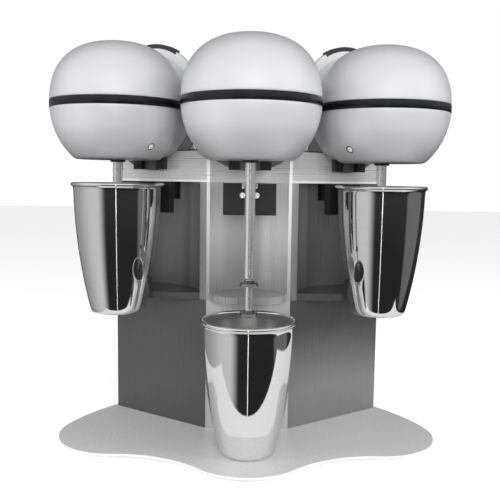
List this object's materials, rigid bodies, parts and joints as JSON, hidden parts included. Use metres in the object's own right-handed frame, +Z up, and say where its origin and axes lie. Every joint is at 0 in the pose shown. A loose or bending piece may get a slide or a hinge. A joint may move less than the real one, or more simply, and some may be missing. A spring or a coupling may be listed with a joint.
{
  "type": "milkshake mixer",
  "caption": "Free-standing drink mixer: rounded motor heads on a stainless column, each over a tall steel cup, on a lobed base plate.",
  "frame": {"origin": "on the surface it stands on, under the middle of the object", "axes": "+Z up, -Y towards the user in front, +X to the user's right"},
  "size_m": [0.504, 0.3158, 0.5222],
  "materials": {
    "base_enamel": "light grey, fine hammered texture",
    "foot_rubber": "matt black rubber",
    "column_steel": "brushed stainless, vertical grain",
    "collar_steel": "brushed stainless, horizontal grain",
    "head_enamel": "silver grey satin enamel",
    "band_black": "gloss black",
    "flange_enamel": "satin silver grey",
    "gasket_black": "matt black",
    "lug_black": "matt black",
    "plate_black": "satin black moulding",
    "cup_steel": "polished stainless",
    "spindle_steel": "ground stainless",
    "tab_steel": "bright stainless strip",
    "screw_steel": "bright zinc",
    "motor_iron": "laminated iron and copper windings",
    "frame_alloy": "die cast",
    "bearing_steel": "ground steel",
    "seal_rubber": "matt black",
    "switch_plastic": "matt black",
    "terminal_plastic": "cream"
  },
  "bodies": {
    "root": {"base_plate": "base_enamel", "base_screws": "screw_steel", "collar_band": "collar_steel", "column_lower_wrap": "column_steel", "column_upper_wrap": "column_steel", "cord_gland": "lug_black", "cover_screws": "screw_steel", "cup_switches": "switch_plastic", "flange_caps": "lug_black", "flange_lugs": "lug_black", "front_cup_rest": "column_steel", "front_head_band": "band_black", "front_head_bowl": "head_enamel", "front_head_cap": "head_enamel", "front_motor_frame": "frame_alloy", "front_motor_stator": "motor_iron", "front_neck_flange": "flange_enamel", "head_screws": "screw_steel", "hub_gasket": "gasket_black", "hub_housing": "head_enamel", "hub_rear_cover": "head_enamel", "left_cup_rest": "column_steel", "left_head_band": "band_black", "left_head_bowl": "head_enamel", "left_head_cap": "head_enamel", "left_motor_frame": "frame_alloy", "left_motor_stator": "motor_iron", "left_neck_flange": "flange_enamel", "plate_screws": "screw_steel", "rear_cover": "column_steel", "right_cup_rest": "column_steel", "right_head_band": "band_black", "right_head_bowl": "head_enamel", "right_head_cap": "head_enamel", "right_motor_frame": "frame_alloy", "right_motor_stator": "motor_iron", "right_neck_flange": "flange_enamel", "rim_tabs": "tab_steel", "rubber_feet": "foot_rubber", "spindle_bearings": "bearing_steel", "spindle_seals": "seal_rubber", "terminal_block": "terminal_plastic"},
    "front_spindle_set": {"front_spindle": "spindle_steel", "front_agitators": "spindle_steel", "front_motor_rotor": "motor_iron"},
    "front_cup_body": {"front_cup": "cup_steel"},
    "front_cup_plate_body": {"front_cup_plate": "plate_black"},
    "left_spindle_set": {"left_spindle": "spindle_steel", "left_agitators": "spindle_steel", "left_motor_rotor": "motor_iron"},
    "left_cup_body": {"left_cup": "cup_steel"},
    "left_cup_plate_body": {"left_cup_plate": "plate_black"},
    "right_spindle_set": {"right_spindle": "spindle_steel", "right_agitators": "spindle_steel", "right_motor_rotor": "motor_iron"},
    "right_cup_body": {"right_cup": "cup_steel"},
    "right_cup_plate_body": {"right_cup_plate": "plate_black"}
  },
  "joints": [
    {"name": "front_spindle_spin", "type": "hinge", "parent": "root", "child": "front_spindle_set", "pos_m": [0, -0.0745, 0.3], "axis": [0, 0, 1], "continuous": true},
    {"name": "left_spindle_spin", "type": "hinge", "parent": "root", "child": "left_spindle_set", "pos_m": [-0.1686, -0.0097, 0.3], "axis": [0, 0, 1], "continuous": true},
    {"name": "right_spindle_spin", "type": "hinge", "parent": "root", "child": "right_spindle_set", "pos_m": [0.1686, -0.0097, 0.3], "axis": [0, 0, 1], "continuous": true},
    {"name": "left_cup_off", "type": "slide", "parent": "root", "child": "left_cup_body", "axis": [-0.1146, -0.17, -0.9788], "range_m": [0, 0.165]},
    {"name": "right_cup_off", "type": "slide", "parent": "root", "child": "right_cup_body", "axis": [0.1146, -0.17, -0.9788], "range_m": [0, 0.165]},
    {"name": "front_cup_out", "type": "slide", "parent": "root", "child": "front_cup_body", "axis": [0, -1, 0], "range_m": [0, 0.06]},
    {"name": "front_cup_plate_press", "type": "slide", "parent": "root", "child": "front_cup_plate_body", "axis": [0, 1, 0], "range_m": [0, 0.003], "stiffness_N_per_m": 500, "springref_m": -0.002},
    {"name": "left_cup_plate_press", "type": "slide", "parent": "root", "child": "left_cup_plate_body", "axis": [0.5592, 0.829, 0], "range_m": [0, 0.003], "stiffness_N_per_m": 500, "springref_m": -0.002},
    {"name": "right_cup_plate_press", "type": "slide", "parent": "root", "child": "right_cup_plate_body", "axis": [-0.5592, 0.829, 0], "range_m": [0, 0.003], "stiffness_N_per_m": 500, "springref_m": -0.002}
  ]
}
